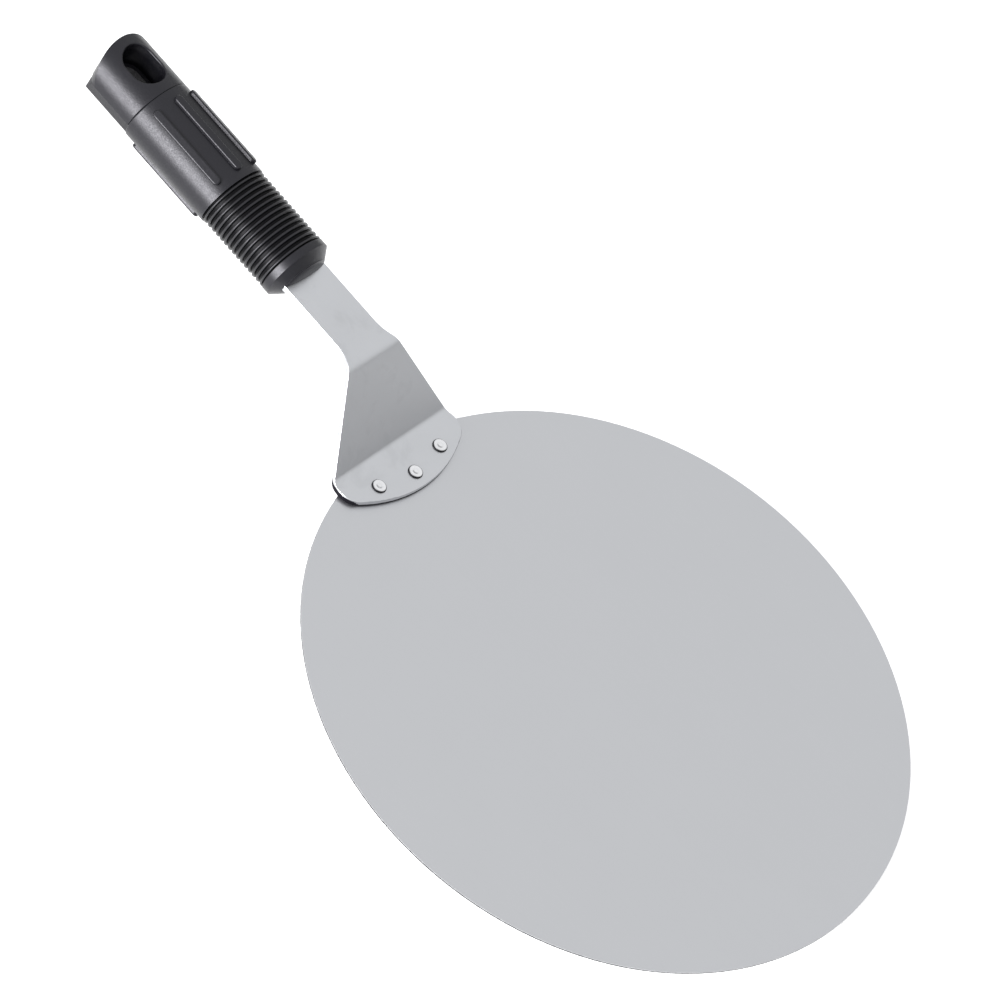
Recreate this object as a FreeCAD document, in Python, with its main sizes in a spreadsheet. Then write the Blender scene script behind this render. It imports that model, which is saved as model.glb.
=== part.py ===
"""Pizza peel: a round steel blade, a stamped and bent shank riveted to it, and a moulded handle.

The frame's origin is the centre of the blade's underside.  +Z is up, and +X runs from the handle
to the blade.  The handle pieces are drawn in a frame of their own: x runs along the handle's axis
from the hanging end (0) towards the blade, y across it, z up, with the tang's mid-plane at z = 0.
"""
import FreeCAD
import Part
import Sketcher
import math
import os

Vector = FreeCAD.Vector
doc = FreeCAD.newDocument("pizza_peel")

# ---------------------------------------------------------------- driving sizes, mm and degrees

SIZES = {
    "blade_diameter": 254,      # ten inches
    "blade_thickness": 0.8,
    "shank_thickness": 2.5,
    "bend_inset": 0.4,          # lower bend's centre line, in from the blade's rim
    "bend_radius": 4,           # inside radius of both bends
    "riser_length": 40.5,       # along the centre line, between the two bends
    "riser_angle": 49.6,
    "handle_tilt": 3.75,        # strap and handle rise away from the blade
    "foot_width": 67.6,         # across the lower bend
    "foot_flare": 12,           # slope of the foot's edges past the bend
    "foot_depth": 20.9,         # lower bend to the tip of the foot
    "foot_radius": 59.8,
    "foot_corner": 9,
    "strap_width": 23.2,
    "strap_length": 40.28,      # upper bend to the nose of the handle
    "flare_lead": 3.5,          # the strap widens this far before the upper bend
    "flare_radius": 20,
    "bend_corner": 7,           # rounds the outline where riser and foot meet
    "edge_round": 0.3,          # tumbled top edge of the shank
    "rivet_margin": 6.4,        # rivet centres, in from the foot's curved edge
    "rivet_spread": 20.2,       # angle between neighbours, about the centre of that curve
    "rivet_stem": 3.2,
    "rivet_head": 6.2,
    "rivet_rise": 1,
    "rivet_dome": 0.85,
    "rivet_sink": 0.6,          # countersunk foot of the rivet, flush under the blade
    "rivet_gap": 0.05,
    "grip_width": 32,
    "grip_height": 27,
    "end_length": 27.9,         # bare hanging end
    "end_bulge": 8,             # how far the end wall bulges out, seen from above
    "parting_step": 0.5,        # the lower half is this much narrower on each side
    "seam_round": 0.4,          # both edges of the seam between hanging end and grip
    "belly_slope": 25,          # the lower half's sides lean in by this angle
    "belly_round": 9,
    "hole_start": 4.4,
    "hole_length": 18.9,
    "hole_width": 14.5,
    "hole_ledge": 1.8,          # the lower half's hole is narrower all round
    "hole_lip": 0.6,
    "grip_length": 45.65,
    "sleeve_wall": 2.4,
    "sleeve_gap": 0.1,
    "rib_start": 4.1,           # from the rear edge of the grip
    "rib_length": 38.2,
    "rib_width": 3.6,
    "rib_height": 1.5,
    "rib_root": 1,              # how far a rib reaches down into the grip's wall
    "rib_offset": 10.2,
    "rib_round": 0.7,
    "ring_count": 15,
    "ring_pitch": 2.37,
    "groove_width": 1.3,
    "groove_depth": 1.2,
    "ring_inset": 0.3,          # the rings stand this much lower than the smooth grip
    "ring_round": 0.5,
    "collar_length": 6.8,
    "collar_inset": 0.3,        # the collar stands this much lower than the smooth grip
    "collar_slope": 3.6,        # length of its sloping shoulder
    "collar_drop": 4.2,         # how far the shoulder drops towards the axis
    "collar_dome": 1.4,         # bulge of the front face
    "collar_ledge": 0.2,        # flat rim round the bulge
    "collar_cup": 3.4,          # how far the collar slips over the core
    "tang_width": 17,
    "tang_depth": 62,           # length of the tang inside the core
    "tang_gap": 0.15,
    "peg_inset": 16,            # first peg, behind the front of the core
    "peg_pitch": 28,
    "peg_diameter": 5,
    "peg_height": 5,            # above the mid-plane
    "peg_root": 1,              # how far a peg reaches down into its half
    "peg_gap": 0.2,
}

sheet = doc.addObject("Spreadsheet::Sheet", "Sizes")
for row, (alias, number) in enumerate(SIZES.items(), start=1):
    sheet.set("A%d" % row, alias)
    sheet.set("B%d" % row, str(number))
    sheet.setAlias("B%d" % row, alias)
doc.recompute()

# Lengths and places worked out from the driving sizes, as expressions that the features share.
BEND_X = "(Sizes.blade_diameter / 2 - Sizes.bend_inset)"
RISER_RUN = "(Sizes.riser_length * cos(Sizes.riser_angle))"
RISER_RISE = "(Sizes.riser_length * sin(Sizes.riser_angle))"
MID_Z = "(Sizes.blade_thickness + Sizes.shank_thickness / 2)"
FOOT_TOP = "(Sizes.blade_thickness + Sizes.shank_thickness)"
UPPER_X = "(%s + %s)" % (BEND_X, RISER_RUN)
UPPER_Z = "(%s + %s)" % (MID_Z, RISER_RISE)
TIP_X = "(%s - Sizes.foot_depth)" % BEND_X
CURVE_X = "(%s + Sizes.foot_radius)" % TIP_X
RINGS = "(Sizes.ring_count * Sizes.ring_pitch)"
CORE_FRONT = "(Sizes.end_length + Sizes.grip_length + %s + Sizes.collar_cup)" % RINGS
HANDLE_LENGTH = "(Sizes.end_length + Sizes.grip_length + %s + Sizes.collar_length)" % RINGS
HANDLE_REACH = "(Sizes.strap_length + %s)" % HANDLE_LENGTH
TANG_REACH = "(%s - %s + Sizes.tang_depth)" % (HANDLE_REACH, CORE_FRONT)
SHOULDER_LEAN = "(Sizes.shank_thickness / 2 * tan(Sizes.handle_tilt))"
SHOULDER_REACH = "(%s - %s - %s)" % (HANDLE_REACH, CORE_FRONT, SHOULDER_LEAN)
HANDLE_X = "(-%s - %s * cos(Sizes.handle_tilt))" % (UPPER_X, HANDLE_REACH)
HANDLE_Z = "(%s + %s * sin(Sizes.handle_tilt))" % (UPPER_Z, HANDLE_REACH)
STEM_HOLE = "(Sizes.rivet_stem + 2 * Sizes.rivet_gap)"
SLOT_HEIGHT = "(Sizes.shank_thickness / 2 + Sizes.tang_gap)"
CLEAR = "5"


# ---------------------------------------------------------------- helpers

def value(expression):
    """The number that an expression gives with the sheet's present sizes."""
    return float(sheet.evalExpression(expression))


def new_body(name):
    body = doc.addObject("PartDesign::Body", name)
    body.Label = name
    return body


def new_sketch(body, name, role="XY_Plane"):
    """An empty sketch on one of the body's own origin planes."""
    sketch = body.newObject("Sketcher::SketchObject", name)
    plane = [item for item in body.Origin.OriginFeatures if item.Role == role][0]
    sketch.AttachmentSupport = [(plane, "")]
    sketch.MapMode = "FlatFace"
    return sketch


def pin(sketch, geometry, vertex, place, bindings):
    """Hold a vertex at a place given by two expressions, measured from the sketch's origin."""
    for kind, axis, expression in (("DistanceX", -2, place[0]), ("DistanceY", -1, place[1])):
        number = value(expression)
        if abs(number) < 1e-7:
            sketch.addConstraint(Sketcher.Constraint("PointOnObject", geometry, vertex, axis))
            continue
        name = "%s_%d_%d" % (kind, geometry, vertex)
        if number > 0:
            index = sketch.addConstraint(Sketcher.Constraint(kind, -1, 1, geometry, vertex, number))
            bindings[name] = expression
        else:
            index = sketch.addConstraint(Sketcher.Constraint(kind, geometry, vertex, -1, 1, -number))
            bindings[name] = "-(%s)" % expression
        sketch.renameConstraint(index, name)


def bind(sketch, bindings):
    for name, expression in bindings.items():
        sketch.setExpression("Constraints." + name, expression)


def size(sketch, kind, geometry, expression, bindings):
    """A radius, diameter or length held by an expression."""
    name = "%s_%d" % (kind, geometry)
    index = sketch.addConstraint(Sketcher.Constraint(kind, geometry, value(expression)))
    sketch.renameConstraint(index, name)
    bindings[name] = expression


def polygon(sketch, places, rounds=None):
    """A closed outline of straight lines, some of its corners rounded with tangent arcs."""
    bindings = {}
    points = [Vector(value(across), value(up), 0) for across, up in places]
    count = len(points)
    first = sketch.GeometryCount
    for index in range(count):
        sketch.addGeometry(Part.LineSegment(points[index], points[(index + 1) % count]))
    for index in range(count):
        following = first + (index + 1) % count
        sketch.addConstraint(Sketcher.Constraint("Coincident", first + index, 2, following, 1))
    for index in range(count):
        pin(sketch, first + index, 1, places[index], bindings)
    for corner, radius in (rounds or {}).items():
        arc = sketch.GeometryCount
        sketch.fillet(first + corner, 1, value(radius), True, True)
        size(sketch, "Radius", arc, radius, bindings)
    bind(sketch, bindings)


def circle(sketch, place, diameter):
    bindings = {}
    centre = Vector(value(place[0]), value(place[1]), 0)
    index = sketch.addGeometry(Part.Circle(centre, Vector(0, 0, 1), value(diameter) / 2))
    pin(sketch, index, 3, place, bindings)
    size(sketch, "Diameter", index, diameter, bindings)
    bind(sketch, bindings)


def oval(sketch, across, tall):
    """An ellipse about the origin; its longer axis may lie across the sketch or upright."""
    bindings = {}
    half_across = Vector(value(across) / 2, 0, 0)
    half_tall = Vector(0, value(tall) / 2, 0)
    flat = half_across.x >= half_tall.y
    long_axis, short_axis = (half_across, half_tall) if flat else (half_tall, half_across)
    index = sketch.addGeometry(Part.Ellipse(long_axis, short_axis, Vector()))
    sketch.exposeInternalGeometry(index)
    sketch.addConstraint(Sketcher.Constraint("Coincident", index, 3, -1, 1))
    sketch.addConstraint(Sketcher.Constraint("Horizontal" if flat else "Vertical", index + 1))
    size(sketch, "Distance", index + 1, across if flat else tall, bindings)
    size(sketch, "Distance", index + 2, tall if flat else across, bindings)
    bind(sketch, bindings)


def slot(sketch, start, end, width):
    """A slot with round ends, along the sketch's x axis, from start to end."""
    bindings = {}
    radius = value(width) / 2
    left = Vector(value(start) + radius, 0, 0)
    right = Vector(value(end) - radius, 0, 0)
    up = Vector(0, radius, 0)
    normal = Vector(0, 0, 1)
    quarter = math.pi / 2
    top = sketch.addGeometry(Part.LineSegment(right + up, left + up))
    rear = sketch.addGeometry(Part.ArcOfCircle(Part.Circle(left, normal, radius), quarter, 3 * quarter))
    bottom = sketch.addGeometry(Part.LineSegment(left - up, right - up))
    front = sketch.addGeometry(Part.ArcOfCircle(Part.Circle(right, normal, radius), -quarter, quarter))
    for one, one_end, other, other_end in (
            (top, 2, rear, 1), (rear, 2, bottom, 1), (bottom, 2, front, 1), (front, 2, top, 1)):
        sketch.addConstraint(Sketcher.Constraint("Tangent", one, one_end, other, other_end))
    sketch.addConstraint(Sketcher.Constraint("Equal", rear, front))
    pin(sketch, rear, 3, ("%s + %s / 2" % (start, width), "0"), bindings)
    pin(sketch, front, 3, ("%s - %s / 2" % (end, width), "0"), bindings)
    size(sketch, "Radius", rear, "%s / 2" % width, bindings)
    bind(sketch, bindings)


def pad(body, name, sketch, length, both=False, reverse=False):
    feature = body.newObject("PartDesign::Pad", name)
    feature.Profile = sketch
    feature.setExpression("Length", length)
    feature.SideType = "Symmetric" if both else "One side"
    feature.Reversed = reverse
    doc.recompute()
    return feature


def pocket(body, name, sketch, length=None, both=False, reverse=False):
    """Cut a sketch out of the body, to a length or right through, and see that it cut something."""
    before = body.Shape.Volume
    feature = body.newObject("PartDesign::Pocket", name)
    feature.Profile = sketch
    feature.SideType = "Symmetric" if both else "One side"
    feature.Reversed = reverse
    if length is None:
        feature.Type = "ThroughAll"
    else:
        feature.setExpression("Length", length)
    doc.recompute()
    if not feature.Shape.Volume < before - 1e-3:
        raise RuntimeError("%s in %s cut nothing" % (name, body.Label))
    return feature


def round_edges(body, name, base, radius, wanted):
    """Round those edges of a feature that wanted(edge) picks."""
    edges = ["Edge%d" % (n + 1) for n, edge in enumerate(base.Shape.Edges) if wanted(edge)]
    if not edges:
        raise RuntimeError("no edge found for %s in %s" % (name, body.Label))
    feature = body.newObject("PartDesign::Fillet", name)
    feature.Base = (base, edges)
    feature.setExpression("Radius", radius)
    doc.recompute()
    return feature


def outer_rim(edge, place, inner_width, inner_height):
    """Whether an edge, square to the axis at a place, runs outside an oval and off the mid-plane."""
    box = edge.BoundBox
    flat = abs(box.XMin - place) < 1e-6 and abs(box.XMax - place) < 1e-6
    middle = edge.valueAt((edge.FirstParameter + edge.LastParameter) / 2)
    outside = (2 * middle.y / inner_width) ** 2 + (2 * middle.z / inner_height) ** 2 > 1.001
    return flat and outside and max(abs(box.ZMin), abs(box.ZMax)) > 1e-3


def place_on_handle(body):
    """Put a piece drawn in the handle's own frame in its place."""
    turned = FreeCAD.Rotation(Vector(0, 1, 0), value("Sizes.handle_tilt"))
    body.Placement = FreeCAD.Placement(Vector(), turned)
    body.setExpression("Placement.Base.x", HANDLE_X)
    body.setExpression("Placement.Base.z", HANDLE_Z)
    body.setExpression("Placement.Rotation.Angle", "Sizes.handle_tilt * 1 deg")


def rivet_places():
    """The three rivet centres, on an arc that follows the foot's curved edge."""
    reach = "(Sizes.foot_radius - Sizes.rivet_margin)"
    places = {}
    for name, turn in (("left", 1), ("middle", 0), ("right", -1)):
        angle = "(%d * Sizes.rivet_spread)" % turn
        places[name] = (
            "-%s + %s * cos(%s)" % (CURVE_X, reach, angle),
            "%s * sin(%s)" % (reach, angle) if turn else "0",
        )
    return places


# ---------------------------------------------------------------- blade

def make_blade():
    """A flat disc of thin sheet, with three countersunk rivet holes near the rim."""
    body = new_body("blade")
    outline = new_sketch(body, "blade_outline")
    circle(outline, ("0", "0"), "Sizes.blade_diameter")
    pad(body, "blade_disc", outline, "Sizes.blade_thickness")
    holes = new_sketch(body, "blade_holes_outline")
    for place in rivet_places().values():
        circle(holes, place, STEM_HOLE)
    drilled = pocket(body, "blade_holes", holes, both=True)
    rim = value(STEM_HOLE) / 2
    sunk = ["Edge%d" % (n + 1) for n, edge in enumerate(drilled.Shape.Edges)
            if edge.Curve.TypeId == "Part::GeomCircle" and abs(edge.Curve.Radius - rim) < 1e-6
            and edge.BoundBox.ZMax < 1e-6]
    countersink = body.newObject("PartDesign::Chamfer", "blade_countersinks")
    countersink.Base = (drilled, sunk)
    countersink.setExpression("Size", "Sizes.rivet_sink")
    doc.recompute()
    return body


# ---------------------------------------------------------------- shank

def make_shank():
    """Foot, riser, strap and tang, stamped from one sheet and bent twice."""
    body = new_body("shank")
    half = "(Sizes.shank_thickness / 2)"
    mean = "((Sizes.riser_angle + Sizes.handle_tilt) / 2)"
    turn = "((Sizes.riser_angle - Sizes.handle_tilt) / 2)"
    mitre = "(%s * tan(Sizes.riser_angle / 2))" % half
    side = "(%s / cos(%s) * sin(%s))" % (half, turn, mean)
    rise = "(%s / cos(%s) * cos(%s))" % (half, turn, mean)
    end_x = "(-%s - %s * cos(Sizes.handle_tilt))" % (UPPER_X, TANG_REACH)
    end_z = "(%s + %s * sin(Sizes.handle_tilt))" % (UPPER_Z, TANG_REACH)
    end_side = "(%s * sin(Sizes.handle_tilt))" % half
    end_rise = "(%s * cos(Sizes.handle_tilt))" % half
    front = "(-%s + %s)" % (TIP_X, CLEAR)
    outer_bend = "(Sizes.bend_radius + Sizes.shank_thickness)"

    profile = new_sketch(body, "shank_side", "XZ_Plane")
    polygon(profile, [
        (front, "Sizes.blade_thickness"),
        ("-%s - %s" % (BEND_X, mitre), "Sizes.blade_thickness"),
        ("-%s - %s" % (UPPER_X, side), "%s - %s" % (UPPER_Z, rise)),
        ("%s - %s" % (end_x, end_side), "%s - %s" % (end_z, end_rise)),
        ("%s + %s" % (end_x, end_side), "%s + %s" % (end_z, end_rise)),
        ("-%s + %s" % (UPPER_X, side), "%s + %s" % (UPPER_Z, rise)),
        ("-%s + %s" % (BEND_X, mitre), FOOT_TOP),
        (front, FOOT_TOP),
    ], rounds={1: outer_bend, 2: "Sizes.bend_radius", 5: outer_bend, 6: "Sizes.bend_radius"})
    blank_width = "(Sizes.foot_width + Sizes.foot_depth * 2 + Sizes.strap_width)"
    pad(body, "shank_strip", profile, blank_width, both=True)

    # Everything outside the blank's outline is cut away on one side, and mirrored to the other.
    shoulder = "(-%s - %s * cos(Sizes.handle_tilt))" % (UPPER_X, SHOULDER_REACH)
    past_end = "(%s - %s)" % (end_x, CLEAR)
    past_side = "(%s / 2 + %s)" % (blank_width, CLEAR)
    flare_x = "(-%s - Sizes.flare_lead)" % UPPER_X
    foot_rise = "(%s + %s + Sizes.bend_inset)" % ("Sizes.foot_depth", CLEAR)
    outside = new_sketch(body, "shank_outside")
    polygon(outside, [
        (past_end, "Sizes.tang_width / 2"),
        (shoulder, "Sizes.tang_width / 2"),
        (shoulder, "Sizes.strap_width / 2"),
        (flare_x, "Sizes.strap_width / 2"),
        ("-%s" % BEND_X, "Sizes.foot_width / 2"),
        ("-%s + %s" % (BEND_X, foot_rise), "Sizes.foot_width / 2 + %s * tan(Sizes.foot_flare)" % foot_rise),
        ("-%s + %s" % (BEND_X, foot_rise), past_side),
        (past_end, past_side),
    ], rounds={3: "Sizes.flare_radius", 4: "Sizes.bend_corner"})
    side_cut = pocket(body, "shank_side_cut", outside, both=True)
    mirror = body.newObject("PartDesign::Mirrored", "shank_other_side")
    mirror.Originals = [side_cut]
    plane = [item for item in body.Origin.OriginFeatures if item.Role == "XZ_Plane"][0]
    mirror.MirrorPlane = (plane, [""])
    body.Tip = mirror
    doc.recompute()

    end = new_sketch(body, "foot_curve")
    cut_foot_end(end)
    foot = pocket(body, "foot_end", end, both=True)

    def foot_corners(edge):
        box = edge.BoundBox
        upright = box.XLength < 1e-6 and box.YLength < 1e-6
        return upright and box.XMin > -value(BEND_X) and abs(box.YMin) > value("Sizes.foot_width") / 2

    corners = round_edges(body, "foot_corners", foot, "Sizes.foot_corner", foot_corners)
    shoulder_x = value(shoulder) + value("Sizes.shank_thickness")

    def top_outline(edge):
        """An edge between the upper surface and a side wall, ahead of the tang's shoulder."""
        if edge.BoundBox.XMin < shoulder_x - 20:
            return False
        middle = edge.valueAt((edge.FirstParameter + edge.LastParameter) / 2)
        slopes = []
        for face in corners.Shape.ancestorsOfType(edge, Part.Face):
            across, along = face.Surface.parameter(middle)
            slopes.append(face.normalAt(across, along).z)
        return max(slopes) > 0.5 and min(abs(slope) for slope in slopes) < 0.1

    round_edges(body, "shank_top_edges", corners, "Sizes.edge_round", top_outline)

    holes = new_sketch(body, "shank_holes_outline")
    for place in rivet_places().values():
        circle(holes, place, STEM_HOLE)
    pocket(body, "shank_holes", holes, FOOT_TOP + " + 1", reverse=True)

    pegs = new_sketch(body, "tang_holes_outline")
    pegs.AttachmentOffset = FreeCAD.Placement(
        Vector(), FreeCAD.Rotation(Vector(0, 1, 0), value("Sizes.handle_tilt")))
    pegs.setExpression("AttachmentOffset.Base.x", HANDLE_X)
    pegs.setExpression("AttachmentOffset.Base.z", HANDLE_Z)
    pegs.setExpression("AttachmentOffset.Rotation.Angle", "Sizes.handle_tilt * 1 deg")
    for place in peg_places():
        circle(pegs, place, "Sizes.peg_diameter + 2 * Sizes.peg_gap")
    pocket(body, "tang_holes", pegs, both=True)
    return body


def cut_foot_end(sketch):
    """The region beyond the foot's curved edge: a half circle with a frame round its far side."""
    bindings = {}
    radius = value("Sizes.foot_radius")
    centre = Vector(-value(CURVE_X), 0, 0)
    quarter = math.pi / 2
    arc = Part.ArcOfCircle(Part.Circle(centre, Vector(0, 0, 1), radius), -quarter, quarter)
    curve = sketch.addGeometry(arc)
    pin(sketch, curve, 3, ("-%s" % CURVE_X, "0"), bindings)
    size(sketch, "Radius", curve, "Sizes.foot_radius", bindings)
    edge = "(Sizes.foot_radius + %s)" % CLEAR
    far = "(-%s + %s)" % (CURVE_X, edge)
    places = [("-%s" % CURVE_X, "Sizes.foot_radius"), ("-%s" % CURVE_X, edge), (far, edge),
              (far, "-%s" % edge), ("-%s" % CURVE_X, "-%s" % edge),
              ("-%s" % CURVE_X, "-Sizes.foot_radius")]
    points = [Vector(value(across), value(up), 0) for across, up in places]
    lines = [sketch.addGeometry(Part.LineSegment(a, b)) for a, b in zip(points, points[1:])]
    sketch.addConstraint(Sketcher.Constraint("Coincident", curve, 2, lines[0], 1))
    sketch.addConstraint(Sketcher.Constraint("Coincident", curve, 1, lines[-1], 2))
    for one, other in zip(lines, lines[1:]):
        sketch.addConstraint(Sketcher.Constraint("Coincident", one, 2, other, 1))
    for index in (0, -1):
        sketch.addConstraint(Sketcher.Constraint("Vertical", lines[index]))
    sketch.addConstraint(Sketcher.Constraint("Vertical", curve, 3, curve, 2))
    sketch.addConstraint(Sketcher.Constraint("Vertical", curve, 3, curve, 1))
    pin(sketch, lines[1], 2, places[2], bindings)
    pin(sketch, lines[2], 2, places[3], bindings)
    sketch.addConstraint(Sketcher.Constraint("Horizontal", lines[1]))
    sketch.addConstraint(Sketcher.Constraint("Horizontal", lines[3]))
    bind(sketch, bindings)


def peg_places():
    """The peg centres in the handle's frame."""
    first = "(%s - Sizes.peg_inset)" % CORE_FRONT
    return [(first, "0"), ("(%s - Sizes.peg_pitch)" % first, "0")]


# ---------------------------------------------------------------- rivets

def make_rivet(name, place):
    """A turned rivet: countersunk foot, stem, and a low head that the press has flattened."""
    body = new_body(name)
    profile = new_sketch(body, name + "_profile", "XZ_Plane")
    stem = "Sizes.rivet_stem / 2"
    top = "%s + Sizes.rivet_rise" % FOOT_TOP
    polygon(profile, [
        ("0", "0"),
        ("%s + Sizes.rivet_sink" % stem, "0"),
        (stem, "Sizes.rivet_sink"),
        (stem, FOOT_TOP),
        ("Sizes.rivet_head / 2", FOOT_TOP),
        ("Sizes.rivet_head / 2", top),
        ("0", top),
    ], rounds={5: "Sizes.rivet_dome"})
    turned = body.newObject("PartDesign::Revolution", name + "_turned")
    turned.Profile = profile
    turned.ReferenceAxis = (profile, ["V_Axis"])
    turned.Angle = 360
    body.setExpression("Placement.Base.x", place[0])
    body.setExpression("Placement.Base.y", place[1])
    doc.recompute()
    return body


# ---------------------------------------------------------------- handle core

def make_core_half(name, upper):
    """One half of the moulded core, split on the tang's mid-plane, with half the hanging end.

    The upper half of the hanging end is half an oval.  The lower half is a little narrower and has
    straight sides that lean in, so a crease runs along the parting line.
    """
    body = new_body(name)
    step = "0" if upper else "Sizes.parting_step"
    end_width = "(Sizes.grip_width - 2 * %s)" % step
    inset = "(Sizes.sleeve_wall + Sizes.sleeve_gap)"

    end = new_sketch(body, name + "_end_section", "YZ_Plane")
    if upper:
        oval(end, end_width, "Sizes.grip_height")
    else:
        bottom = "(%s / 2 - Sizes.grip_height / 2 * tan(Sizes.belly_slope))" % end_width
        depth = "-Sizes.grip_height / 2"
        polygon(end, [("%s / 2" % end_width, "0"), (bottom, depth), ("-" + bottom, depth),
                      ("-%s / 2" % end_width, "0")], rounds={1: "Sizes.belly_round", 2: "Sizes.belly_round"})
    pad(body, name + "_end", end, "Sizes.end_length")
    core = new_sketch(body, name + "_core_section", "YZ_Plane")
    core_width = "(Sizes.grip_width - 2 * %s)" % inset
    core_height = "(Sizes.grip_height - 2 * %s)" % inset
    oval(core, core_width, core_height)
    pad(body, name + "_core", core, CORE_FRONT)

    half = new_sketch(body, name + "_other_half", "XZ_Plane")
    beyond = "%sSizes.grip_height" % ("-" if upper else "")
    polygon(half, [("-" + CLEAR, "0"), ("%s + %s" % (CORE_FRONT, CLEAR), "0"),
                   ("%s + %s" % (CORE_FRONT, CLEAR), beyond), ("-" + CLEAR, beyond)])
    pocket(body, name + "_parting", half, "Sizes.grip_width * 2", both=True)

    wall = new_sketch(body, name + "_end_wall_outline")
    cut_end_wall(wall, "Sizes.grip_width", "(Sizes.end_bulge - %s)" % step, "Sizes.end_bulge")
    pocket(body, name + "_end_wall", wall, "Sizes.grip_height * 2", both=True)

    hole = new_sketch(body, name + "_hole_outline")
    ledge = "0" if upper else "Sizes.hole_ledge"
    slot(hole, "(Sizes.hole_start + %s)" % ledge,
         "(Sizes.hole_start + Sizes.hole_length - %s)" % ledge,
         "(Sizes.hole_width - 2 * %s)" % ledge)
    pierced = pocket(body, name + "_hole", hole, "Sizes.grip_height * 2", both=True)

    hole_end = value("Sizes.hole_start + Sizes.hole_length")

    def hole_rim(edge):
        box = edge.BoundBox
        inside = box.XMin > 1 and box.XMax < hole_end + 1e-3
        return inside and min(abs(box.ZMin), abs(box.ZMax)) > 1

    lip = round_edges(body, name + "_hole_lip", pierced, "Sizes.hole_lip", hole_rim)

    def seam_rim(edge):
        return outer_rim(edge, value("Sizes.end_length"), value(core_width), value(core_height))

    round_edges(body, name + "_seam_round", lip, "Sizes.seam_round", seam_rim)

    recess = new_sketch(body, name + "_tang_outline")
    side = "(Sizes.tang_width / 2 + Sizes.tang_gap)"
    rear = "(%s - Sizes.tang_depth - Sizes.tang_gap)" % CORE_FRONT
    past = "(%s + %s)" % (CORE_FRONT, CLEAR)
    polygon(recess, [(rear, "-" + side), (past, "-" + side), (past, side), (rear, side)])
    pocket(body, name + "_tang_recess", recess, SLOT_HEIGHT, reverse=upper)

    pegs = new_sketch(body, name + "_pegs_outline")
    if upper:
        for place in peg_places():
            circle(pegs, place, "Sizes.peg_diameter + 2 * Sizes.peg_gap")
        pocket(body, name + "_peg_sockets", pegs, "Sizes.peg_height + Sizes.peg_gap", reverse=True)
    else:
        pegs.setExpression("AttachmentOffset.Base.z", "-(%s) - Sizes.peg_root" % SLOT_HEIGHT)
        for place in peg_places():
            circle(pegs, place, "Sizes.peg_diameter")
        pad(body, name + "_pegs", pegs, "Sizes.peg_height + %s + Sizes.peg_root" % SLOT_HEIGHT)
    place_on_handle(body)
    return body


def cut_end_wall(sketch, width, depth, start):
    """The region behind the end wall, whose outline from above is half an ellipse."""
    bindings = {}
    centre = Vector(value(start), 0, 0)
    half_width = value(width) / 2
    half_depth = value(depth)
    ellipse = Part.Ellipse(centre + Vector(0, half_width, 0), centre - Vector(half_depth, 0, 0), centre)
    curve = sketch.addGeometry(Part.ArcOfEllipse(ellipse, 0, math.pi))
    sketch.exposeInternalGeometry(curve)
    pin(sketch, curve, 3, (start, "0"), bindings)
    sketch.addConstraint(Sketcher.Constraint("Vertical", curve + 1))
    size(sketch, "Distance", curve + 1, width, bindings)
    size(sketch, "Distance", curve + 2, "2 * %s" % depth, bindings)
    side = "(%s / 2 + %s)" % (width, CLEAR)
    places = [(start, "%s / 2" % width), (start, side), ("-" + CLEAR, side), ("-" + CLEAR, "-" + side),
              (start, "-" + side), (start, "-%s / 2" % width)]
    points = [Vector(value(across), value(up), 0) for across, up in places]
    lines = [sketch.addGeometry(Part.LineSegment(a, b)) for a, b in zip(points, points[1:])]
    for one, other in zip(lines, lines[1:]):
        sketch.addConstraint(Sketcher.Constraint("Coincident", one, 2, other, 1))
    for index, place in ((1, places[1]), (2, places[2]), (3, places[3]), (4, places[4])):
        pin(sketch, lines[index], 1, place, bindings)
    sketch.addConstraint(Sketcher.Constraint("Coincident", lines[0], 1, curve, 1))
    sketch.addConstraint(Sketcher.Constraint("Coincident", lines[-1], 2, curve, 2))
    sketch.addConstraint(Sketcher.Constraint("Vertical", lines[0]))
    sketch.addConstraint(Sketcher.Constraint("Vertical", lines[-1]))
    bind(sketch, bindings)


# ---------------------------------------------------------------- sleeves and collar

def sleeve_section(sketch, inset):
    """The tube wall between the handle's outer oval, less an inset, and the core."""
    oval(sketch, "(Sizes.grip_width - 2 * %s)" % inset, "(Sizes.grip_height - 2 * %s)" % inset)
    oval(sketch, "(Sizes.grip_width - 2 * Sizes.sleeve_wall)",
         "(Sizes.grip_height - 2 * Sizes.sleeve_wall)")


def start_at(sketch, expression):
    """Move a sketch along its own normal."""
    sketch.setExpression("AttachmentOffset.Base.z", expression)


def make_ribbed_grip():
    """A smooth oval tube with three long ribs on top and three underneath."""
    body = new_body("ribbed_grip")
    section = new_sketch(body, "ribbed_grip_section", "YZ_Plane")
    start_at(section, "Sizes.end_length")
    sleeve_section(section, "0")
    pad(body, "ribbed_grip_tube", section, "Sizes.grip_length")

    rib_top = []
    for side in (-1, 0, 1):
        for up in (1, -1):
            rib_top.append(add_rib(body, side, up))

    def crest(edge):
        return any((edge.CenterOfMass - centre).Length < value("Sizes.rib_length") / 2 + 1
                   and all(abs((vertex.Point - centre).dot(normal)) < 1e-4 for vertex in edge.Vertexes)
                   for centre, normal in rib_top)

    crests = round_edges(body, "rib_crests", body.Tip, "Sizes.rib_round", crest)

    def rear_rim(edge):
        bore_width = value("Sizes.grip_width - 2 * Sizes.sleeve_wall")
        bore_height = value("Sizes.grip_height - 2 * Sizes.sleeve_wall")
        return outer_rim(edge, value("Sizes.end_length"), bore_width, bore_height)

    round_edges(body, "ribbed_grip_seam_round", crests, "Sizes.seam_round", rear_rim)
    place_on_handle(body)
    return body


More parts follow.
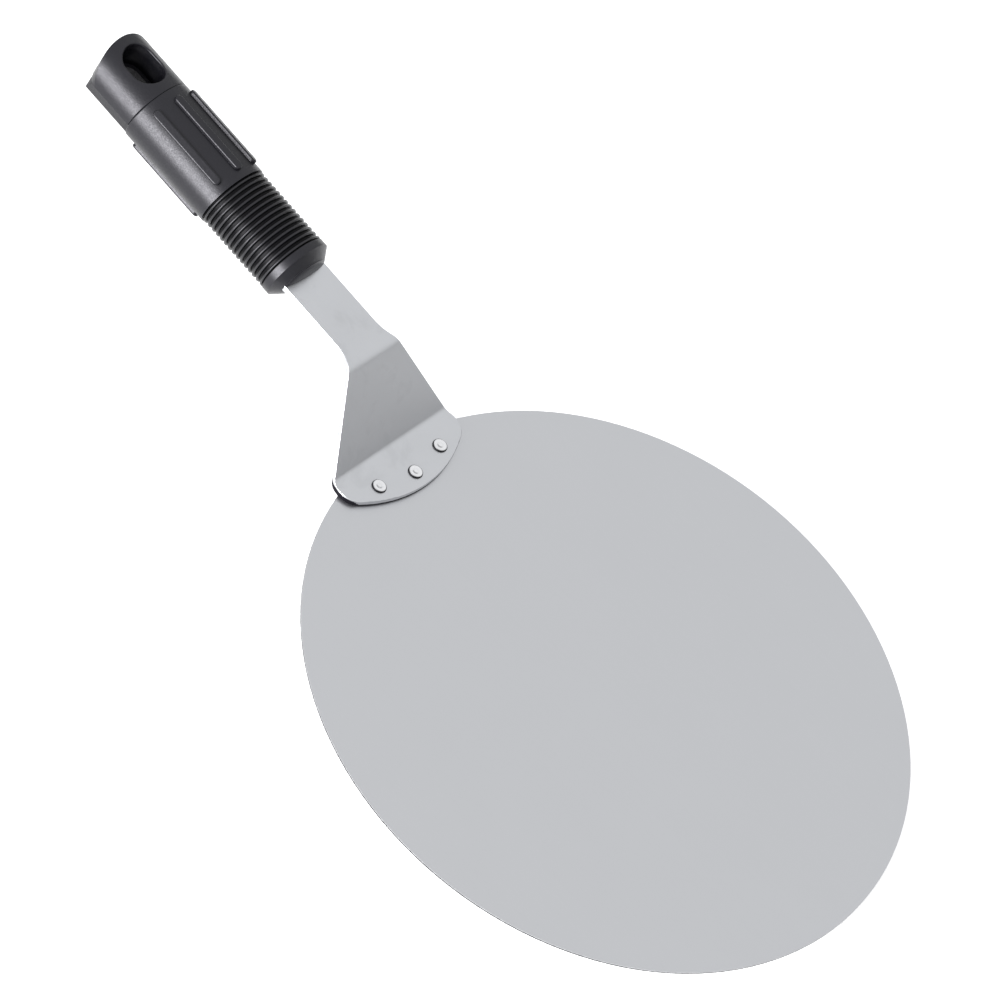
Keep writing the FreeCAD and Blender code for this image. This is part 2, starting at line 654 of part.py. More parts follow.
def add_rib(body, side, up):
    """One rib, standing square to the oval where it grows; gives its crest's centre and normal."""
    name = "rib_%s_%s" % ("upper" if up > 0 else "lower", {-1: "near", 0: "middle", 1: "far"}[side])
    half_width = "(Sizes.grip_width / 2)"
    half_height = "(Sizes.grip_height / 2)"
    across = "(%d * Sizes.rib_offset)" % side
    height = "(%d * %s * sqrt(1 - (Sizes.rib_offset * %d / %s) ^ 2))" % (up, half_height, side, half_width)
    # The slope of the oval's normal at that place, from its two semi-axes.
    lean = "atan2(%s / %s ^ 2; %s / %s ^ 2)" % (across, half_width, height, half_height)
    rib = new_sketch(body, name + "_outline")
    turn = float(sheet.evalExpression(lean).Value)
    rib.AttachmentOffset = FreeCAD.Placement(Vector(), FreeCAD.Rotation(Vector(1, 0, 0), -turn or 360))
    rib.setExpression("AttachmentOffset.Base.y", "%s - Sizes.rib_root * sin(%s)" % (across, lean))
    rib.setExpression("AttachmentOffset.Base.z", "%s - Sizes.rib_root * cos(%s)" % (height, lean))
    start = "(Sizes.end_length + Sizes.rib_start)"
    slot(rib, start, "(%s + Sizes.rib_length)" % start, "Sizes.rib_width")
    pad(body, name, rib, "Sizes.rib_root + Sizes.rib_height")
    normal = rib.Placement.Rotation.multVec(Vector(0, 0, 1))
    middle = Vector(value(start) + value("Sizes.rib_length") / 2, value(across), value(height))
    return middle + normal * value("Sizes.rib_height"), normal


def make_ringed_grip():
    """A soft oval tube with evenly spaced rings."""
    body = new_body("ringed_grip")
    rear = "(Sizes.end_length + Sizes.grip_length)"
    section = new_sketch(body, "ringed_grip_section", "YZ_Plane")
    start_at(section, rear)
    sleeve_section(section, "(Sizes.ring_inset + Sizes.groove_depth)")
    pad(body, "ringed_grip_tube", section, RINGS)

    ring = new_sketch(body, "ring_section", "YZ_Plane")
    start_at(ring, "%s + Sizes.groove_width / 2" % rear)
    sleeve_section(ring, "Sizes.ring_inset")
    first = pad(body, "first_ring", ring, "Sizes.ring_pitch - Sizes.groove_width")
    rings = body.newObject("PartDesign::LinearPattern", "rings")
    rings.Originals = [first]
    rings.Direction = (ring, ["N_Axis"])
    rings.Mode = "Spacing"
    rings.setExpression("Offset", "Sizes.ring_pitch")
    rings.setExpression("Occurrences", "Sizes.ring_count")
    body.Tip = rings
    doc.recompute()

    crest_width = value("Sizes.grip_width - 2 * Sizes.ring_inset")

    def crest(edge):
        return edge.BoundBox.XLength < 1e-6 and abs(edge.BoundBox.YLength - crest_width) < 1e-3

    round_edges(body, "ring_crests", rings, "Sizes.ring_round", crest)
    place_on_handle(body)
    return body


def make_nose_collar():
    """A cup that closes the front of the handle round the strap, with a sloping shoulder."""
    body = new_body("nose_collar")
    rear = "(Sizes.end_length + Sizes.grip_length + %s)" % RINGS
    front = "(%s + Sizes.collar_length)" % rear
    slope = "(%s - Sizes.collar_slope)" % front
    wide = "(Sizes.grip_width - 2 * Sizes.collar_inset)"
    tall = "(Sizes.grip_height - 2 * Sizes.collar_inset)"
    section = new_sketch(body, "collar_section", "YZ_Plane")
    start_at(section, rear)
    oval(section, wide, tall)
    pad(body, "collar_block", section, "Sizes.collar_length - Sizes.collar_slope")

    shoulder = body.newObject("PartDesign::AdditiveLoft", "collar_shoulder")
    outline = new_sketch(body, "shoulder_section", "YZ_Plane")
    start_at(outline, slope)
    oval(outline, wide, tall)
    face = new_sketch(body, "front_section", "YZ_Plane")
    start_at(face, front)
    oval(face, "(%s - 2 * Sizes.collar_drop)" % wide, "(%s - 2 * Sizes.collar_drop)" % tall)
    shoulder.Profile = outline
    shoulder.Sections = [face]
    shoulder.Ruled = True
    doc.recompute()

    dome = body.newObject("PartDesign::AdditiveEllipsoid", "collar_dome")
    dome.AttachmentSupport = section.AttachmentSupport
    dome.MapMode = "FlatFace"
    dome.setExpression("AttachmentOffset.Base.z", front)
    dome.setExpression("Radius1", "Sizes.collar_dome")
    dome.setExpression("Radius2", "%s / 2 - Sizes.collar_drop - Sizes.collar_ledge" % wide)
    dome.setExpression("Radius3", "%s / 2 - Sizes.collar_drop - Sizes.collar_ledge" % tall)
    dome.Angle1 = -90
    dome.Angle2 = 90
    dome.Angle3 = 360
    doc.recompute()

    cup = new_sketch(body, "collar_cup_outline", "YZ_Plane")
    start_at(cup, rear)
    oval(cup, "(Sizes.grip_width - 2 * Sizes.sleeve_wall)", "(Sizes.grip_height - 2 * Sizes.sleeve_wall)")
    pocket(body, "collar_cup", cup, "Sizes.collar_cup", reverse=True)

    strap = new_sketch(body, "collar_slot_outline", "YZ_Plane")
    start_at(strap, rear)
    side = "(Sizes.strap_width / 2 + Sizes.tang_gap)"
    polygon(strap, [("-" + side, "-" + SLOT_HEIGHT), (side, "-" + SLOT_HEIGHT),
                    (side, SLOT_HEIGHT), ("-" + side, SLOT_HEIGHT)])
    pocket(body, "collar_slot", strap, "Sizes.collar_length + Sizes.collar_dome + " + CLEAR, reverse=True)
    place_on_handle(body)
    return body


# ---------------------------------------------------------------- assembly

def check_and_write(parts):
    """Stop if any object failed or any piece isn't one sound solid, then write the pieces."""
    doc.recompute()
    for item in doc.Objects:
        if "Invalid" in item.State or "Error" in item.State:
            raise RuntimeError("%s failed: %s" % (item.Label, item.State))
    for part in parts:
        shape = part.Shape
        if shape.isNull() or not shape.isValid():
            raise RuntimeError("%s has no valid shape" % part.Label)
        if len(shape.Solids) != 1:
            raise RuntimeError("%s has %d solids" % (part.Label, len(shape.Solids)))
    os.makedirs("parts", exist_ok=True)
    for part in parts:
        part.Shape.exportStep("parts/%s.step" % part.Label)
        box = part.Shape.BoundBox
        print("%-14s %9.1f mm3  x %.1f..%.1f  y %.1f..%.1f  z %.1f..%.1f" % (
            part.Label, part.Shape.Volume, box.XMin, box.XMax, box.YMin, box.YMax, box.ZMin, box.ZMax))


parts = [make_blade(), make_shank()]
for side_name, rivet_place in rivet_places().items():
    parts.append(make_rivet("rivet_" + side_name, rivet_place))
parts.append(make_core_half("core_upper", True))
parts.append(make_core_half("core_lower", False))
parts.append(make_ribbed_grip())
parts.append(make_ringed_grip())
parts.append(make_nose_collar())
check_and_write(parts)
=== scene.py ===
# %% [markdown]
# # A round pizza peel
#
# The tool is a disc of thin stainless sheet, a bent steel shank riveted to it, and a black
# moulded handle.  Its measured parts come from the CAD frame.  This lesson gives them their
# finish, lights them like a catalogue picture, and presses the rivet heads, whose dished tops are
# softer than a turned solid.

# %% Load the frame
import bmesh
import bpy
import math
from mathutils import Matrix, Vector


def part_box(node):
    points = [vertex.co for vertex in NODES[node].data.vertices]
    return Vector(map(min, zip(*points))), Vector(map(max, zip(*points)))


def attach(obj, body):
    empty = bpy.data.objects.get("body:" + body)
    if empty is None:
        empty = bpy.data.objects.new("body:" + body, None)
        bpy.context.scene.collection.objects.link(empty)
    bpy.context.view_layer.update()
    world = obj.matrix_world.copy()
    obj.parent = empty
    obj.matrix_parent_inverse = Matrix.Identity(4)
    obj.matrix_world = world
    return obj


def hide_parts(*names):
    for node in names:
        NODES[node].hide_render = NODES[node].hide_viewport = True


MM = 0.001
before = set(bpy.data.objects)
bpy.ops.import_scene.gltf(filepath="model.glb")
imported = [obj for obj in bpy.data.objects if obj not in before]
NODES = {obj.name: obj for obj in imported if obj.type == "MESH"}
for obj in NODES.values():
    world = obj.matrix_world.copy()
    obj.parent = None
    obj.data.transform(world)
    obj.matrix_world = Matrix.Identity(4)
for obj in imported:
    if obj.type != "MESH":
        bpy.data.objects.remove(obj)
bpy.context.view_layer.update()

# %% [markdown]
# ## Camera
#
# The view is a long lens from well above the near side of the tool, tilted so that the handle
# runs to the upper left corner.  A camera's own axes are the columns of its matrix, so the
# three angles are turned into a right, an up and a backward direction.

# %% Camera
AZIMUTH, ELEVATION, ROLL = 15.97, 47.41, 34.13
DISTANCE = 1.9155
AIM = Vector((-0.0784, 0.0038, 0.0232))
LENS, SENSOR = 179.8, 36.0


def camera_axes(azimuth, elevation, roll):
    """Right, up and backward directions of a camera that looks down at the origin."""
    a, e, r = (math.radians(angle) for angle in (azimuth, elevation, roll))
    back = Vector((math.sin(a) * math.cos(e), -math.cos(a) * math.cos(e), math.sin(e)))
    level = Vector((math.cos(a), math.sin(a), 0))
    up = back.cross(level)
    return (level * math.cos(r) + up * math.sin(r),
            up * math.cos(r) - level * math.sin(r), back)


right, up, back = camera_axes(AZIMUTH, ELEVATION, ROLL)
camera = bpy.data.objects.new("camera", bpy.data.cameras.new("camera"))
camera.data.lens = LENS
camera.data.sensor_width = SENSOR
camera.data.clip_end = 20
camera.matrix_world = Matrix.Translation(AIM + back * DISTANCE) @ Matrix(
    (right, up, back)).transposed().to_4x4()
bpy.context.scene.collection.objects.link(camera)
bpy.context.scene.camera = camera
print("camera at", tuple(round(c, 3) for c in camera.matrix_world.translation))

# %% [markdown]
# ## Node helpers
#
# Every finish here, and the room too, is a small tree of nodes.  Three short helpers keep that
# code readable.  The first adds a node, sets its options, and links or sets each named input; the
# other two do one step of arithmetic and one smooth fade.

# %% Node helpers


def add(tree, kind, values=None, **settings):
    """Add a node; values maps an input's name or number to a number, a colour or an output."""
    node = tree.nodes.new(kind)
    for key, setting in settings.items():
        setattr(node, key, setting)
    for key, given in (values or {}).items():
        if isinstance(given, bpy.types.NodeSocket):
            tree.links.new(given, node.inputs[key])
        else:
            node.inputs[key].default_value = given
    return node


def step(tree, operation, first, second=0.0):
    """One step of arithmetic on numbers or outputs."""
    return add(tree, "ShaderNodeMath", {0: first, 1: second}, operation=operation).outputs[0]


def fade(tree, number, start, end, low=0.0, high=1.0):
    """Go smoothly from low to high while the number goes from start to end."""
    return add(tree, "ShaderNodeMapRange",
               {"Value": number, "From Min": start, "From Max": end, "To Min": low, "To Max": high},
               interpolation_type="SMOOTHSTEP").outputs["Result"]


# %% [markdown]
# ## Floor and room
#
# Polished and satin metal shows what is around it, so the room matters as much as the metal.  An
# evenly bright ceiling gives the flat grey of the blade.  The walls are darker towards the floor,
# and the steep riser of the shank, which looks straight at them, comes out a shade deeper.

# %% Floor and room
FLOOR_GAP = 0.15 * MM
FLOOR_SPAN = 6.0
CEILING, SKIRTING = 1.0, 0.29
WALL_TOP = 0.55
scene = bpy.context.scene
scene.view_settings.view_transform = "Standard"

mesh = bpy.data.meshes.new("floor")
corners = [(x * FLOOR_SPAN, y * FLOOR_SPAN, -FLOOR_GAP) for x, y in ((-1, -1), (1, -1), (1, 1), (-1, 1))]
mesh.from_pydata(corners, [], [(0, 1, 2, 3)])
floor = bpy.data.objects.new("floor", mesh)
scene.collection.objects.link(floor)

world = bpy.data.worlds.new("studio")
world.use_nodes = True
sky = world.node_tree
looking = add(sky, "ShaderNodeTexCoord").outputs["Generated"]
height = add(sky, "ShaderNodeSeparateXYZ", {"Vector": looking}).outputs["Z"]
level = fade(sky, height, 0.0, WALL_TOP, SKIRTING, CEILING)
tint = add(sky, "ShaderNodeVectorMath", {0: (0.98, 0.99, 1.0), "Scale": level}, operation="SCALE")
sky.links.new(tint.outputs["Vector"], sky.nodes["Background"].inputs["Color"])
scene.world = world
print("room brightness runs from", SKIRTING, "at the floor to", CEILING)

# %% [markdown]
# ## Softbox
#
# One upright softbox stands on the floor at the near side of the tool.  It draws the broad
# highlight along the flank of the handle, and the floor in front of it carries the highlight
# further down.  It is low and narrow, so that the upward faces of the metal hardly see it.

# %% Softbox


def softbox(name, direction, distance, width, height, power):
    """An oblong softbox that faces the middle of the tool."""
    data = bpy.data.lights.new(name, "AREA")
    data.shape = "RECTANGLE"
    data.size = width
    data.size_y = height
    data.energy = power
    light = bpy.data.objects.new(name, data)
    place = Vector(direction).normalized()
    light.location = AIM + place * distance
    light.rotation_euler = place.to_track_quat("Z", "Y").to_euler()
    scene.collection.objects.link(light)


softbox("near_softbox", (-0.19, -0.93, 0.33), 2.2, 1.0, 1.4, 100)

# %% [markdown]
# ## Material helpers
#
# Each finish is a Principled BSDF with procedural nodes in front of it.  An effect that several
# finishes share is a node group; its sockets are made on the group's interface.

# %% Material helpers


def new_material(name):
    material = bpy.data.materials.new(name)
    material.use_nodes = True
    return material, material.node_tree, material.node_tree.nodes["Principled BSDF"]


def new_group(name, inputs, outputs):
    """A shader node group with named sockets: inputs have defaults, outputs have a kind."""
    tree = bpy.data.node_groups.new(name, "ShaderNodeTree")
    for label, number in inputs.items():
        socket = tree.interface.new_socket(label, in_out="INPUT", socket_type="NodeSocketFloat")
        socket.default_value = number
    for label, kind in outputs.items():
        tree.interface.new_socket(label, in_out="OUTPUT", socket_type="NodeSocket" + kind)
    return tree, tree.nodes.new("NodeGroupInput").outputs, tree.nodes.new("NodeGroupOutput").inputs


def place_group(tree, group, values):
    """Put a node group in a material with its own values; gives the group's outputs."""
    return add(tree, "ShaderNodeGroup", values, node_tree=group).outputs


def paint(names, material):
    """Put a material on CAD nodes by name."""
    for name in names:
        slots = NODES[name].material_slots
        if not slots:
            NODES[name].data.materials.append(material)
        for slot in slots:
            slot.material = material


# %% [markdown]
# ## Floor finish
#
# A seamless paper sweep is almost white and has no gloss.  Faint mottling keeps it from being a
# flat colour, and a breath of its own light stands for the lamps that wash a studio floor.

# %% Floor finish
material, tree, shader = new_material("paper_sweep")
where = add(tree, "ShaderNodeTexCoord").outputs["Object"]
mottle = add(tree, "ShaderNodeTexNoise", {"Vector": where, "Scale": 9.0, "Detail": 3.0})
tone = fade(tree, mottle.outputs["Fac"], 0.3, 0.7, 0.92, 0.95)
tree.links.new(tone, shader.inputs["Base Color"])
shader.inputs["Roughness"].default_value = 0.95
shader.inputs["Specular IOR Level"].default_value = 0.1
shader.inputs["Emission Color"].default_value = (1, 1, 1, 1)
shader.inputs["Emission Strength"].default_value = 0.36
floor.data.materials.append(material)
print("floor finish:", material.name)

# %% [markdown]
# ## Satin steel grain
#
# Rolled stainless sheet is finished with fine abrasive belts, which leave hairlines along one
# direction and faint clouds where the belt pressed harder.  Handling adds soft smudges on top.
# All three come from noise: stretched a hundred to one for the hairlines, left round for the
# clouds, and thresholded softly for the smudges.  It is a node group, because blade, shank and
# rivets share it with different strengths.

# %% Satin grain group
grain, entry, leave = new_group(
    "satin_grain", {"Clouds": 0.02, "Hairlines": 0.02, "Smudges": 0.0, "Depth": 0.1},
    {"Tone": "Float", "Roughness": "Float", "Normal": "Vector"})
where = add(grain, "ShaderNodeTexCoord").outputs["Object"]
stretched = add(grain, "ShaderNodeMapping", {"Vector": where, "Scale": (40.0, 4500.0, 4500.0)})
hair = add(grain, "ShaderNodeTexNoise", {"Vector": stretched.outputs["Vector"], "Scale": 1.0,
                                         "Detail": 2.0}).outputs["Fac"]
cloud = add(grain, "ShaderNodeTexNoise", {"Vector": where, "Scale": 28.0, "Detail": 3.0,
                                          "Roughness": 0.55}).outputs["Fac"]
finger = add(grain, "ShaderNodeTexNoise", {"Vector": where, "Scale": 75.0, "Detail": 4.0, "Roughness": 0.6,
                                           "Distortion": 0.4}).outputs["Fac"]
smudge = fade(grain, finger, 0.52, 0.68)
hair_part = step(grain, "MULTIPLY", step(grain, "SUBTRACT", hair, 0.5), entry["Hairlines"])
cloud_part = step(grain, "MULTIPLY", step(grain, "SUBTRACT", cloud, 0.5), entry["Clouds"])
smudge_part = step(grain, "MULTIPLY", smudge, entry["Smudges"])
wander = step(grain, "SUBTRACT", step(grain, "ADD", hair_part, cloud_part), smudge_part)
bump = add(grain, "ShaderNodeBump", {"Height": hair, "Distance": 0.02 * MM, "Strength": entry["Depth"]})
grain.links.new(step(grain, "ADD", wander, 1.0), leave["Tone"])
grain.links.new(step(grain, "MULTIPLY", wander, -0.8), leave["Roughness"])
grain.links.new(bump.outputs["Normal"], leave["Normal"])

# %% [markdown]
# ## Sheared edges
#
# The press shears each blank out of the sheet.  The cut wall has a bright burnished band where
# the punch slid, and below it a near black band: partly the torn band where the steel broke, partly
# painted shade at the foot of the wall.  The group finds walls by how upright the surface is, and
# the dark band by its height; a wall that faces sideways is painted dark almost all the way up, a
# painted dark reflection.

# %% Sheared edge group
sheared, entry, leave = new_group(
    "sheared_edge", {"Torn And Shade Height": 1.0 * MM, "Sideways Shade Height": 1.0 * MM}, {"Mask": "Float"})
where = add(sheared, "ShaderNodeTexCoord").outputs["Object"]
place_z = add(sheared, "ShaderNodeSeparateXYZ", {"Vector": where}).outputs["Z"]
facing = add(sheared, "ShaderNodeSeparateXYZ", {
    "Vector": add(sheared, "ShaderNodeNewGeometry").outputs["True Normal"]}).outputs
upright = fade(sheared, step(sheared, "ABSOLUTE", facing["Z"]), 0.35, 0.75, 1.0, 0.0)
# painted dark reflection: walls that face sideways are made dark almost to the top
sideways = fade(sheared, step(sheared, "ABSOLUTE", facing["Y"]), 0.55, 0.8)
ragged = add(sheared, "ShaderNodeTexNoise", {"Vector": where, "Scale": 900.0, "Detail": 3.0}).outputs["Fac"]
uneven = step(sheared, "MULTIPLY", step(sheared, "SUBTRACT", ragged, 0.5), 0.5 * MM)
spare = step(sheared, "MULTIPLY", step(sheared, "SUBTRACT", entry["Sideways Shade Height"], entry["Torn And Shade Height"]),
             sideways)
limit = step(sheared, "ADD", step(sheared, "ADD", entry["Torn And Shade Height"], spare), uneven)
# partly the real torn band, partly painted shade: the wall is near black below the limit height
below = fade(sheared, step(sheared, "SUBTRACT", limit, place_z), -0.15 * MM, 0.15 * MM)
sheared.links.new(step(sheared, "MULTIPLY", upright, below), leave["Mask"])

# %% [markdown]
# ## Steel
#
# Blade and shank are the same satin steel; the shank has seen more handling.  The dark band of a
# sheared wall, partly its torn band and partly painted shade and painted dark reflection, replaces
# the tone with near black and the gloss with a rough surface.

# %% Steel
BLADE_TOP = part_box("blade")[1][2]
SHANK_SHEET = 2.5 * MM
# near black for the sheared walls: partly the torn band, partly painted shade and painted dark reflection
TORN_AND_SHADE_COLOUR = (0.018, 0.017, 0.022, 1)
TORN_ROUGHNESS = 0.7


def satin_steel(name, colour, roughness, grain_values, torn_and_shade, sideways_shade):
    """Metal whose tone and roughness wander a little round the given values."""
    material, tree, shader = new_material(name)
    wear = place_group(tree, grain, grain_values)
    edge = place_group(tree, sheared, {"Torn And Shade Height": torn_and_shade, "Sideways Shade Height": sideways_shade})["Mask"]
    tinted = add(tree, "ShaderNodeVectorMath", {0: colour, "Scale": wear["Tone"]}, operation="SCALE")
    blend = add(tree, "ShaderNodeMix", {"Factor": edge, "A": tinted.outputs["Vector"], "B": TORN_AND_SHADE_COLOUR},
                data_type="RGBA")
    varied = step(tree, "ADD", wear["Roughness"], roughness)
    rough = add(tree, "ShaderNodeMix", {"Factor": edge, "A": varied, "B": TORN_ROUGHNESS}, data_type="FLOAT")
    tree.links.new(blend.outputs["Result"], shader.inputs["Base Color"])
    tree.links.new(rough.outputs["Result"], shader.inputs["Roughness"])
    tree.links.new(wear["Normal"], shader.inputs["Normal"])
    shader.inputs["Metallic"].default_value = 1.0
    return material


paint(["blade"], satin_steel(
    "blade_steel", (0.553, 0.558, 0.574), 0.36,
    {"Clouds": 0.02, "Hairlines": 0.02, "Smudges": 0.0, "Depth": 0.1},
    BLADE_TOP - 0.25 * MM, BLADE_TOP - 0.25 * MM))
paint(["shank"], satin_steel(
    "shank_steel", (0.565, 0.572, 0.590), 0.33,
    {"Clouds": 0.10, "Hairlines": 0.03, "Smudges": 0.05, "Depth": 0.12},
    BLADE_TOP + 0.9 * MM, BLADE_TOP + SHANK_SHEET - 0.45 * MM))
print("steel on blade and shank; blade top at", round(BLADE_TOP / MM, 2), "mm")

# %% [markdown]
# ## Pressed rivet heads
#
# The CAD rivet is turned: a plain button.  The real head was pressed by a cupped tool that left a
# raised rim and a slightly dished, slightly oval top.  A lathe profile spun round the rivet's axis
# makes it.  The rim is a quarter of an ellipse and the dish a cosine, so both come from formulas,
# and the countersunk foot underneath is the same as in CAD.

# %% Pressed rivet heads
STEM_RADIUS = 1.6 * MM
COUNTERSINK = 0.6 * MM
RIM_SHARE = 0.68        # where the rim's crest lies, from the axis to the outside
SKIRT_SHARE = 0.22      # height of the upright skirt under the rim
DISH_SHARE = 0.55       # depth of the dish
OVAL_SHARE = 0.02       # each head came out a little more oval than the one before
CURVE_STEPS = 8
SPIN_STEPS = 56
SHARP_ANGLE = math.radians(38)


def rivet_profile(head_radius, foot_top, head_top):
    """Points from the middle of the foot, up the outside, to the middle of the dished top."""
    rim = head_radius * RIM_SHARE
    wall_top = foot_top + SKIRT_SHARE * (head_top - foot_top)
    points = [(0, 0), (STEM_RADIUS + COUNTERSINK, 0), (STEM_RADIUS, COUNTERSINK),
              (STEM_RADIUS, foot_top), (head_radius, foot_top)]
    for number in range(CURVE_STEPS + 1):
        turn = math.radians(90 * number / CURVE_STEPS)
        points.append((rim + (head_radius - rim) * math.cos(turn),
                       wall_top + (head_top - wall_top) * math.sin(turn)))
    dish = DISH_SHARE * (head_top - foot_top)
    for number in range(1, CURVE_STEPS + 1):
        share = number / CURVE_STEPS
        points.append((rim * (1 - share), head_top - dish * (1 - math.cos(math.pi * share)) / 2))
    return points


def spin(name, points, centre, squash):
    """Turn a profile round the vertical axis through centre; squash narrows it along Y."""
    shape = bmesh.new()
    rings = []
    for radius, level in points:
        turns = SPIN_STEPS if radius > 0 else 1
        rings.append([shape.verts.new((
            centre.x + radius * math.cos(math.tau * k / turns),
            centre.y + radius * math.sin(math.tau * k / turns) * squash, level)) for k in range(turns)])
    for lower, upper in zip(rings, rings[1:]):
        for k in range(SPIN_STEPS):
            following = (k + 1) % SPIN_STEPS
            corners = [lower[k % len(lower)], lower[following % len(lower)],
                       upper[following % len(upper)], upper[k % len(upper)]]
            shape.faces.new(list(dict.fromkeys(corners)))
    for face in shape.faces:
        face.smooth = True
    mesh = bpy.data.meshes.new(name)
    shape.to_mesh(mesh)
    shape.free()
    mesh.set_sharp_from_angle(angle=SHARP_ANGLE)
    piece = bpy.data.objects.new(name, mesh)
    scene.collection.objects.link(piece)
    return piece


RIVETS = ["rivet_left", "rivet_middle", "rivet_right"]
foot_top = BLADE_TOP + SHANK_SHEET
pressed = []
for index, name in enumerate(RIVETS):
    low, high = (Vector(corner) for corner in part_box(name))
    head_radius = (high.x - low.x) / 2
    profile = rivet_profile(head_radius, foot_top, high.z)
    piece = spin("pressed_" + name, profile, (low + high) / 2, 1 - OVAL_SHARE * index)
    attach(piece, "root")
    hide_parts(name)
    pressed.append(piece)
print("pressed heads, mm across:", round(2 * head_radius / MM, 2))

# %% [markdown]
# ## Rivet finish
#
# The press leaves the flat parts of each head almost polished.  The steep walls and the skirt
# near the foot are painted nearly black: painted shade in the corner between head and foot, and a
# painted dark reflection on the steep walls.

# %% Rivet finish
material, tree, shader = new_material("rivet_steel")
wear = place_group(tree, grain, {"Clouds": 0.3, "Hairlines": 0.0, "Smudges": 0.05, "Depth": 0.0})
where = add(tree, "ShaderNodeTexCoord").outputs["Object"]
place_z = add(tree, "ShaderNodeSeparateXYZ", {"Vector": where}).outputs["Z"]
lean = add(tree, "ShaderNodeSeparateXYZ", {
    "Vector": add(tree, "ShaderNodeNewGeometry").outputs["Normal"]}).outputs["Z"]
# painted shade and painted dark reflection: the skirt near the foot and the steep walls are made nearly
# black
above = fade(tree, place_z, foot_top + 0.20 * MM, foot_top + 0.45 * MM)
unshaded = step(tree, "MULTIPLY", above, fade(tree, lean, 0.66, 0.97))
tinted = add(tree, "ShaderNodeVectorMath", {0: (0.80, 0.80, 0.81), "Scale": wear["Tone"]}, operation="SCALE")
blend = add(tree, "ShaderNodeMix", {"Factor": unshaded, "A": (0.02, 0.02, 0.022, 1),
                                    "B": tinted.outputs["Vector"]}, data_type="RGBA")
rough = add(tree, "ShaderNodeMix", {"Factor": unshaded, "A": 0.6,
                                    "B": step(tree, "ADD", wear["Roughness"], 0.15)}, data_type="FLOAT")
tree.links.new(blend.outputs["Result"], shader.inputs["Base Color"])
tree.links.new(rough.outputs["Result"], shader.inputs["Roughness"])
shader.inputs["Metallic"].default_value = 1.0
for piece in pressed:
    piece.data.materials.append(material)
paint(RIVETS, material)
print("rivet finish on", len(pressed), "pressed heads")

# %% [markdown]
# ## Moulded skin
#
# The mould of a matt handle is spark-eroded, which prints a fine pebbled skin on the plastic.
# Two sizes of noise make it: pebbles of about a third of a millimetre, and slow waves where the
# plastic shrank.  Both are bump, and the pebbles also vary the tone and the gloss.

# %% Moulded skin group
skin, entry, leave = new_group(
    "moulded_skin", {"Pebble": 2500.0, "Depth": 0.3, "Waves": 0.1},
    {"Mask": "Float", "Normal": "Vector"})
where = add(skin, "ShaderNodeTexCoord").outputs["Object"]
pebbles = add(skin, "ShaderNodeTexNoise", {"Vector": where, "Scale": entry["Pebble"], "Detail": 2.0,
                                           "Roughness": 0.6}).outputs["Fac"]
waves = add(skin, "ShaderNodeTexNoise", {"Vector": where, "Scale": 420.0, "Detail": 2.0}).outputs["Fac"]
slow = add(skin, "ShaderNodeBump", {"Height": waves, "Distance": 0.3 * MM, "Strength": entry["Waves"]})
fine = add(skin, "ShaderNodeBump", {"Height": pebbles, "Distance": 0.06 * MM, "Strength": entry["Depth"],
                                    "Normal": slow.outputs["Normal"]})
skin.links.new(pebbles, leave["Mask"])
skin.links.new(fine.outputs["Normal"], leave["Normal"])

# %% [markdown]
# ## Handle plastics
#
# The hard parts are black plastic with the pebbled skin, and the rings are a darker, softer
# rubber with a much finer one.  The lower half of the core is rougher and takes less shine, a
# painted shade on the underside.  Between the rings, and inside the hanging hole, the plastic is
# almost without shine, a painted shade in these recesses.  The distance from the handle's own
# axis tells the grooves and the hole from the outside.

# %% Handle plastics


HANDLE_TILT = math.radians(3.75)
# shine left in the ring grooves and the hanging hole, a painted shade
RECESS_SHADE_SHINE = 0.06
HARD_TONES = ((0.003, 0.003, 0.0042), (0.006, 0.0058, 0.008))
SOFT_TONES = ((0.002, 0.002, 0.0025), (0.004, 0.004, 0.0045))
PEBBLED = {"Pebble": 2300.0, "Depth": 0.5, "Waves": 0.15}
HOLE_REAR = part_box("core_upper")[0][0] + 4.5 * MM     # the hole starts this far from the end
rings_low, rings_high = (Vector(corner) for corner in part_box("ringed_grip"))
RINGS_MIDDLE = (rings_low + rings_high) / 2
RINGS_HALF_WIDTH = (rings_high.y - rings_low.y) / 2
RINGS_HALF_HEIGHT = RINGS_HALF_WIDTH - 2.5 * MM     # the handle is 5 mm wider than it is high


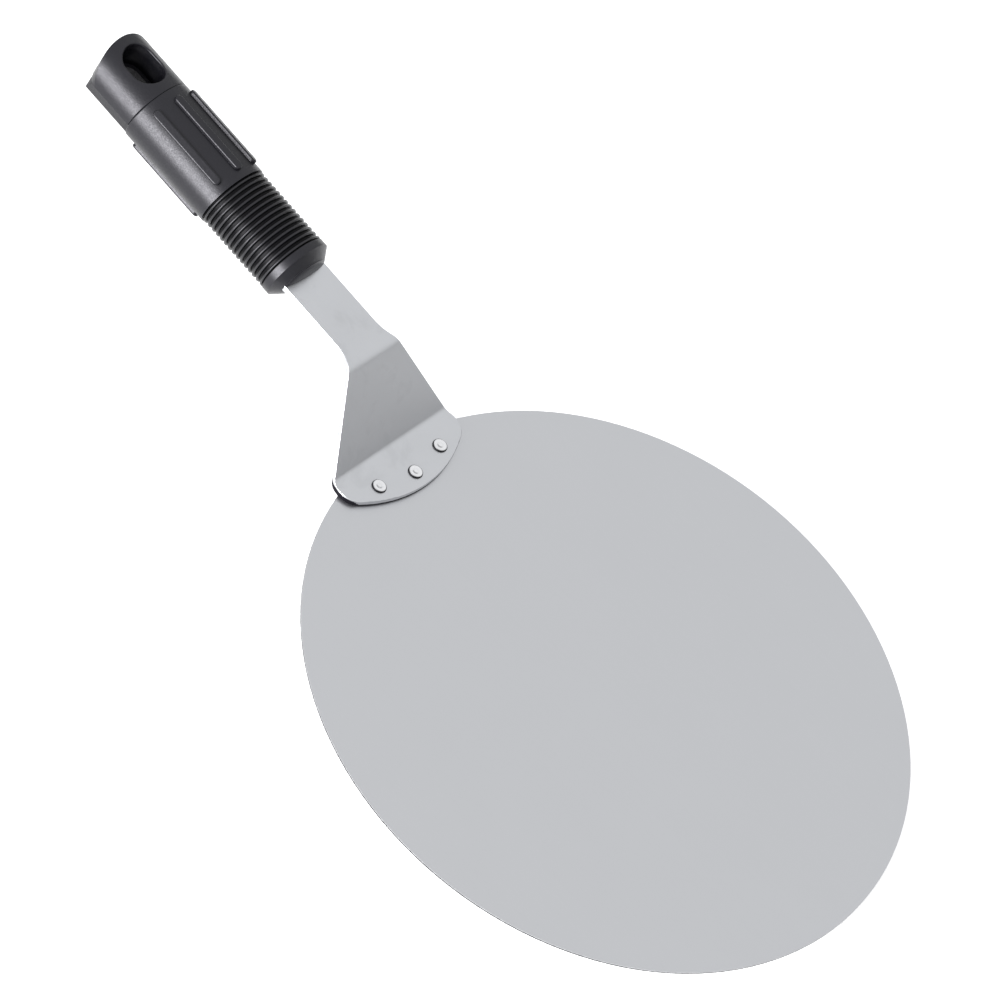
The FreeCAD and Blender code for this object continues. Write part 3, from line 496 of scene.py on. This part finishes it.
def from_axis(tree):
    """Distance from the handle's axis, 1 on the crests of the rings; behind the hole it jumps up."""
    where = add(tree, "ShaderNodeTexCoord").outputs["Object"]
    centred = add(tree, "ShaderNodeVectorMath", {0: where, 1: RINGS_MIDDLE}, operation="SUBTRACT")
    level = add(tree, "ShaderNodeMapping", {"Vector": centred.outputs["Vector"],
                                            "Rotation": (0, -HANDLE_TILT, 0)})
    shares = add(tree, "ShaderNodeVectorMath", {
        0: level.outputs["Vector"], 1: (0, 1 / RINGS_HALF_WIDTH, 1 / RINGS_HALF_HEIGHT)},
        operation="MULTIPLY")
    away = add(tree, "ShaderNodeVectorMath", {0: shares.outputs["Vector"]}, operation="LENGTH")
    along = add(tree, "ShaderNodeSeparateXYZ", {"Vector": where}).outputs["X"]
    behind = fade(tree, along, HOLE_REAR - MM, HOLE_REAR, 1.0, 0.0)
    return step(tree, "ADD", away.outputs["Value"], behind)


def moulded(name, tones, roughness, shine, skin_values, recess_shade=(0.0, 0.1)):
    """Matt plastic between two tones, whose gloss wanders with the pebbles and fades near the axis: painted
    shade in the recesses.
    """
    material, tree, shader = new_material(name)
    # painted shade: the shine drops close to the handle's axis, in the ring grooves and inside the hanging
    # hole
    varied = fade(tree, from_axis(tree), recess_shade[0], recess_shade[1], RECESS_SHADE_SHINE, shine)
    tree.links.new(varied, shader.inputs["Specular IOR Level"])
    group = place_group(tree, skin, skin_values)
    colour = add(tree, "ShaderNodeMix", {"Factor": group["Mask"], "A": (*tones[0], 1), "B": (*tones[1], 1)},
                 data_type="RGBA")
    tree.links.new(colour.outputs["Result"], shader.inputs["Base Color"])
    rough = fade(tree, group["Mask"], 0.25, 0.75, roughness - 0.08, roughness + 0.08)
    tree.links.new(rough, shader.inputs["Roughness"])
    tree.links.new(group["Normal"], shader.inputs["Normal"])
    shader.inputs["Specular Tint"].default_value = (0.95, 0.94, 1.0, 1)
    return material


plastic = moulded("handle_plastic", HARD_TONES, 0.37, 0.42, PEBBLED)
pierced = moulded("core_plastic", HARD_TONES, 0.37, 0.42, PEBBLED, (0.70, 0.90))
# painted shade: the lower half of the core takes less shine than the upper half, and has a rougher skin
rougher_and_shaded = moulded("lower_plastic", HARD_TONES, 0.6, 0.3, {**PEBBLED, "Depth": 0.6})
rubber = moulded("ring_rubber", SOFT_TONES, 0.36, 0.5, {"Pebble": 3200.0, "Depth": 0.2, "Waves": 0.05},
                 (0.92, 0.985))
paint(["ribbed_grip", "nose_collar"], plastic)
paint(["core_upper"], pierced)
paint(["core_lower"], rougher_and_shaded)
paint(["ringed_grip"], rubber)
print("the rings' half width, mm:", round(RINGS_HALF_WIDTH / MM, 2))
